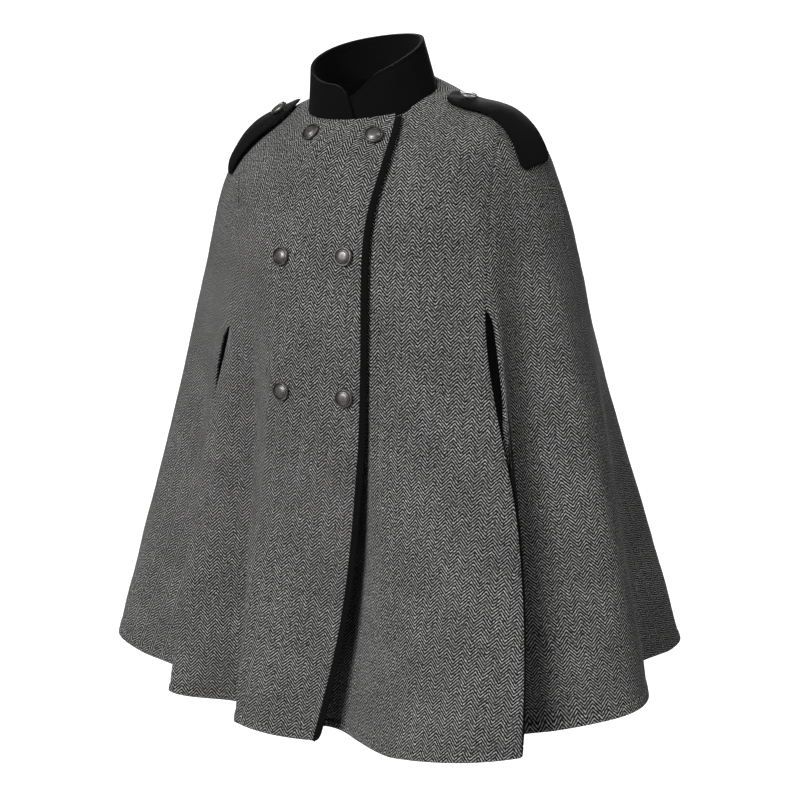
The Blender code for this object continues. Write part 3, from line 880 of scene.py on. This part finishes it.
def model_button(metal, tarnished):
    """One domed button, its middle over the origin and its back towards -Z."""
    deselect_all()
    bpy.ops.mesh.primitive_cylinder_add(
        vertices=BUTTON_SIDES, radius=BUTTON_RADIUS, depth=BUTTON_DISC, location=(0, 0, BUTTON_DISC_AT)
    )
    button = bpy.context.object
    bpy.ops.object.transform_apply(location=True)
    bpy.ops.object.mode_set(mode="EDIT")
    bpy.ops.mesh.select_all(action="DESELECT")
    select_faces(button, lambda face: face.normal.z > BUTTON_LEVEL)
    for cut in BUTTON_CUTS:
        bpy.ops.mesh.inset(thickness=cut.inwards, depth=cut.up)
    select_faces(button, lambda face: face.normal.z < -BUTTON_LEVEL)
    bpy.ops.mesh.inset(thickness=BUTTON_SHANK_INSET, depth=0)
    bpy.ops.mesh.extrude_region_move(TRANSFORM_OT_translate={"value": (0, 0, -BUTTON_SHANK)})
    inner = BUTTON_RADIUS - sum(cut.inwards for cut in BUTTON_CUTS[:BEAD_CUT + 1])
    outer = inner + BUTTON_CUTS[BEAD_CUT].inwards

    def is_bead(face):
        reach = face.center.xy.length
        turn = atan2(face.center.y, face.center.x) / (2 * pi) * BUTTON_SIDES
        on_ring = face.normal.z > BUTTON_LEVEL and inner < reach < outer
        return on_ring and int(turn + BUTTON_SIDES) % 2 == 0

    select_faces(button, is_bead)
    bpy.ops.transform.translate(value=(0, 0, BEAD_RISE))
    bpy.ops.object.mode_set(mode="OBJECT")
    bevel = button.modifiers.new("Soft edges", "BEVEL")
    bevel.width = BUTTON_ROUNDING
    bevel.segments = 2
    bevel.limit_method = "ANGLE"
    bevel.angle_limit = radians(BUTTON_EDGE_ANGLE)
    apply_all(button)
    button.data.shade_smooth()
    button.data.materials.append(metal)
    button.data.materials.append(tarnished)
    for face in button.data.polygons:
        face.material_index = int(in_groove(face))
    return button


def upright(seat, axis):
    """Stands a piece on its seat, its own up along the axis and its right along the ring."""
    across = Vector((0, 0, 1)).cross(axis).normalized()
    ahead = axis.cross(across)
    turn = Matrix((across, ahead, axis)).transposed().to_4x4()
    return Matrix.Translation(seat) @ turn


def placed_copy(item, name, matrix):
    """A copy with its own mesh, its place in the mesh."""
    mesh = item.data.copy()
    mesh.name = name
    mesh.transform(matrix)
    made = bpy.data.objects.new(name, mesh)
    bpy.context.scene.collection.objects.link(made)
    return made


def on_cloth(place, lift, lapped=False):
    """A point that far out from the rippled cloth."""
    rippled = lift + ripples(body_point(place.angle, place.down, lapped))
    return raised(place.angle, place.down, rippled, lapped)


def make_buttons(metal, tarnished):
    """All eight buttons, each a copy of one."""
    master = model_button(metal, tarnished)
    places = {}
    for number, place in enumerate(FRONT_BUTTONS, 1):
        seat = on_cloth(place, BUTTON_SEAT, True)
        places[f"button_front_{number}"] = upright(seat, outward(place.angle, place.down, True))
    for side, place in TAB_BUTTONS.items():
        seat = on_cloth(place, tab_lift(TABS[side], place.down) + TAB_WALL + BUTTON_SEAT)
        places[f"button_epaulette_{side}"] = upright(seat, outward(place.angle, place.down))
    for node, matrix in places.items():
        made = placed_copy(master, f"{node}_metal", matrix)
        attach(made, "root")
        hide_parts(node)
    bpy.data.objects.remove(master, do_unlink=True)


def make_buttonholes(thread):
    """Worked buttonholes: a ring of thread drawn out to the length of the hole."""
    deselect_all()
    bpy.ops.mesh.primitive_torus_add(
        major_radius=BUTTONHOLE_HALF, major_segments=BUTTONHOLE_SIDES,
        minor_radius=BUTTONHOLE_THREAD, minor_segments=BUTTONHOLE_THREAD_SIDES,
    )
    master = bpy.context.object
    stretch = BUTTONHOLE_LENGTH / 2 - BUTTONHOLE_HALF
    for side in (-1, 1):
        bpy.ops.object.mode_set(mode="OBJECT")
        for vertex in master.data.vertices:
            vertex.select = vertex.co.x * side > 1e-5
        bpy.ops.object.mode_set(mode="EDIT")
        bpy.ops.transform.translate(value=(side * stretch, 0, 0))
    bpy.ops.object.mode_set(mode="OBJECT")
    master.data.shade_smooth()
    master.data.materials.append(thread)
    for number in BUTTONHOLES:
        place = FRONT_BUTTONS[number - 1]
        matrix = upright(on_cloth(place, BUTTONHOLE_LIFT, True), outward(place.angle, place.down, True))
        shift = Matrix.Translation((BUTTONHOLE_SHIFT, 0, 0))
        made = placed_copy(master, f"buttonhole_{number}", matrix @ shift)
        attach(made, "root")
    bpy.data.objects.remove(master, do_unlink=True)


class Shading:
    """A material under construction, with short ways to add its nodes."""

    def __init__(self, name, roughness, metallic=0.0, sheen=0.0, shine=0.12):
        self.material = bpy.data.materials.new(name)
        self.material.use_nodes = True
        tree = self.material.node_tree
        self.nodes, self.links = tree.nodes, tree.links
        self.shader = tree.nodes["Principled BSDF"]
        self.shader.inputs["Roughness"].default_value = roughness
        self.shader.inputs["Metallic"].default_value = metallic
        self.shader.inputs["Specular IOR Level"].default_value = shine
        self.shader.inputs["Sheen Weight"].default_value = sheen
        self.shader.inputs["Sheen Roughness"].default_value = 0.5

    def feed(self, socket, value):
        """Links another node's output to an input, or sets the input to a plain value."""
        if isinstance(value, bpy.types.NodeSocket):
            self.links.new(value, socket)
        else:
            socket.default_value = value

    def add(self, kind, *numbered, **named):
        """Adds a node and feeds its inputs, the first ones by number and the others by name."""
        node = self.nodes.new(kind)
        for number, value in enumerate(numbered):
            self.feed(node.inputs[number], value)
        for name, value in named.items():
            self.feed(node.inputs[name.replace("_", " ")], value)
        return node

    def cut_place(self):
        """The place on the piece's flat cut."""
        node = self.nodes.new("ShaderNodeUVMap")
        node.uv_map = CUT_MAP
        return node.outputs["UV"]

    def own_place(self):
        """The place in the piece's own space."""
        return self.nodes.new("ShaderNodeTexCoord").outputs["Object"]

    def maths(self, operation, a, b=0.0):
        """One step of arithmetic."""
        node = self.add("ShaderNodeMath", a, b)
        node.operation = operation
        return node.outputs[0]

    def noise(self, vector, grain):
        """Soft noise between 0 and 1."""
        node = self.add(
            "ShaderNodeTexNoise", Vector=vector, Scale=grain.scale, Detail=grain.detail,
            Roughness=grain.roughness,
        )
        return node.outputs["Fac"]

    def centred(self, value, reach):
        """A noise moved to the middle of 0 and given that reach."""
        return self.maths("MULTIPLY", self.maths("SUBTRACT", value, 0.5), reach)

    def smooth(self, value, step):
        """A smooth step in a noise."""
        node = self.add(
            "ShaderNodeMapRange", Value=value, From_Min=step.low, From_Max=step.high,
            To_Min=step.to_low, To_Max=step.to_high,
        )
        node.interpolation_type = "SMOOTHSTEP"
        return node.outputs["Result"]

    def blend(self, share, first, second):
        """A colour between two, by that share."""
        node = self.nodes.new("ShaderNodeMix")
        node.data_type = "RGBA"
        for number, value in ((0, share), (6, first), (7, second)):
            self.feed(node.inputs[number], value)
        return node.outputs[2]

    def toned(self, share, tones):
        """A colour between the dark and the light tone, by that share."""
        return self.blend(share, (*tones.dark, 1), (*tones.light, 1))

    def colour(self, value):
        """Gives the material its colour."""
        self.links.new(value, self.shader.inputs["Base Color"])

    def raise_face(self, height, relief):
        """Gives the material a fine relief."""
        bump = self.add(
            "ShaderNodeBump", Height=height, Strength=relief.strength, Distance=relief.depth
        )
        self.links.new(bump.outputs["Normal"], self.shader.inputs["Normal"])


def herringbone():
    """Black and white wool tweed, woven along the grain of each piece's flat cut."""
    cloth = Shading("herringbone tweed", 0.93, sheen=0.04)
    place = cloth.cut_place()
    split = cloth.add("ShaderNodeSeparateXYZ", place)
    sway_u = cloth.centred(cloth.noise(place, SWAY_ACROSS), WEAVE_SWAY)
    sway_v = cloth.centred(cloth.noise(place, SWAY_DOWN), WEAVE_SWAY)
    across = cloth.maths("DIVIDE", cloth.maths("ADD", split.outputs["X"], sway_u), 2 * WEAVE_COLUMN)
    folded = cloth.maths("PINGPONG", across, 0.5)
    climb = cloth.maths("MULTIPLY", folded, 2 * WEAVE_COLUMN / WEAVE_ACROSS)
    drop = cloth.maths("DIVIDE", cloth.maths("ADD", split.outputs["Y"], sway_v), WEAVE_DOWN)
    wave = cloth.maths("SINE", cloth.maths("MULTIPLY", cloth.maths("ADD", climb, drop), 2 * pi))
    yarn = cloth.noise(place, YARN)
    uneven = cloth.maths("ADD", wave, cloth.centred(yarn, WEAVE_YARN))
    broken = cloth.maths("ADD", uneven, cloth.centred(cloth.noise(place, FLECK), WEAVE_FLECK))
    stripe = cloth.smooth(broken, STRIPE_STEP)
    worn = cloth.smooth(cloth.noise(place, WORN), WORN_STEP)
    patches = cloth.smooth(cloth.noise(place, PATCHES), PATCH_STEP)
    bright = cloth.smooth(cloth.noise(place, BRIGHT), BRIGHT_STEP)
    striped = cloth.blend(stripe, cloth.toned(yarn, TWEED_BLACK), cloth.toned(bright, TWEED_WHITE))
    patched = cloth.add("ShaderNodeVectorMath", cloth.blend(worn, striped, TWEED_WORN))
    patched.operation = "SCALE"
    cloth.feed(patched.inputs["Scale"], patches)
    cloth.colour(patched.outputs[0])
    fuzz = cloth.maths("MULTIPLY", cloth.noise(place, FUZZ), FUZZ_SHARE)
    cloth.raise_face(cloth.maths("ADD", stripe, fuzz), TWEED_RELIEF)
    return cloth.material


def felted_wool(name, tones):
    """Felted wool: matt, faintly napped and a little uneven."""
    cloth = Shading(name, 0.95, sheen=0.015)
    place = cloth.cut_place()
    nap = cloth.noise(place, NAP)
    clouds = cloth.smooth(cloth.noise(place, CLOUDS), CLOUD_STEP)
    cloth.colour(cloth.toned(cloth.maths("MULTIPLY", cloth.smooth(nap, NAP_STEP), clouds), tones))
    cloth.raise_face(nap, WOOL_RELIEF)
    return cloth.material


def old_silver(name, tones):
    """Old silver, stained and finely scratched."""
    metal = Shading(name, 0.5, metallic=0.85, shine=0.5)
    place = metal.own_place()
    stain = metal.noise(place, STAIN)
    metal.colour(metal.toned(metal.smooth(stain, STAIN_STEP), tones))
    metal.feed(metal.shader.inputs["Roughness"], metal.smooth(stain, POLISH_STEP))
    scratches = metal.maths("MULTIPLY", metal.noise(place, SCRATCHES), SCRATCH_SHARE)
    metal.raise_face(metal.maths("ADD", stain, scratches), SILVER_RELIEF)
    return metal.material


def buttonhole_thread():
    """Dark grey thread, wound close."""
    thread = Shading("buttonhole thread", 0.75)
    wound = thread.noise(thread.own_place(), WINDING)
    thread.colour(thread.toned(wound, THREAD))
    thread.raise_face(wound, THREAD_RELIEF)
    return thread.material


def studio_white():
    """The white of the floor and the backdrop, with a glow of its own."""
    white = Shading("studio white", 0.9)
    white.shader.inputs["Emission Color"].default_value = (1, 1, 1, 1)
    white.shader.inputs["Emission Strength"].default_value = BACKDROP_GLOW
    white.colour(white.toned(white.noise(white.own_place(), PAINT), STUDIO_WHITE))
    return white.material


def facing(turn, rise):
    """The direction in which something at that turn and rise looks at the cape."""
    turn, rise = radians(turn), radians(rise)
    return Vector((-sin(turn) * cos(rise), cos(turn) * cos(rise), -sin(rise)))


def make_camera():
    """The camera of the photo."""
    ahead = facing(CAMERA_TURN, CAMERA_RISE)
    camera = bpy.data.objects.new("Camera", bpy.data.cameras.new("Camera"))
    camera.data.lens = CAMERA_LENS
    camera.data.sensor_width = CAMERA_SENSOR
    camera.location = CAMERA_AIM - ahead * CAMERA_DISTANCE
    camera.rotation_euler = ahead.to_track_quat("-Z", "Y").to_euler()
    bpy.context.scene.collection.objects.link(camera)
    bpy.context.scene.camera = camera


def make_lights():
    """A key lamp at the camera's left, weaker ones at its right and behind, and some light all round."""
    for lamp in LAMPS:
        light = bpy.data.lights.new(lamp.name, "SUN")
        light.energy = lamp.power
        light.angle = radians(LAMP_SOFTNESS)
        made = bpy.data.objects.new(lamp.name, light)
        made.rotation_euler = facing(lamp.turn, lamp.rise).to_track_quat("-Z", "Y").to_euler()
        bpy.context.scene.collection.objects.link(made)
    world = bpy.data.worlds.new("Studio")
    world.use_nodes = True
    background = world.node_tree.nodes["Background"]
    background.inputs["Color"].default_value = (1, 1, 1, 1)
    background.inputs["Strength"].default_value = FILL_POWER
    bpy.context.scene.world = world


def stage_plane(name, place, size, tilt, material):
    """A studio plane square to the camera, that far behind the cape and above the origin."""
    behind, above = place
    ahead = facing(CAMERA_TURN, 0)
    centre = Vector((CAMERA_AIM.x, CAMERA_AIM.y, above)) + ahead * behind
    turned = (radians(tilt), 0, radians(CAMERA_TURN))
    bpy.ops.mesh.primitive_plane_add(size=size, location=centre, rotation=turned)
    made = bpy.context.object
    bpy.ops.object.transform_apply(location=True, rotation=True)
    made.name = name
    made.data.materials.append(material)


def make_studio():
    """A white floor far below the cape and a white backdrop far behind it."""
    white = studio_white()
    stage_plane("studio_floor", FLOOR_PLACE, FLOOR_SIZE, 0, white)
    stage_plane("studio_backdrop", BACKDROP_PLACE, BACKDROP_SIZE, 90, white)
    make_lights()
    bpy.context.scene.view_settings.view_transform = "Standard"


def main():
    """Builds the cape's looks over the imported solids, with the camera and the studio."""
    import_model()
    wool = felted_wool("black wool", BLACK_WOOL)
    make_collar(wool)
    make_cloth(herringbone(), felted_wool("inner face", INNER_FACE))
    make_band(wool)
    make_tabs(wool)
    rubbed = old_silver("old silver", RUBBED_SILVER)
    make_buttons(rubbed, old_silver("tarnished silver", TARNISHED_SILVER))
    make_buttonholes(buttonhole_thread())
    make_camera()
    make_studio()
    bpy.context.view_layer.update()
    deselect_all()


main()
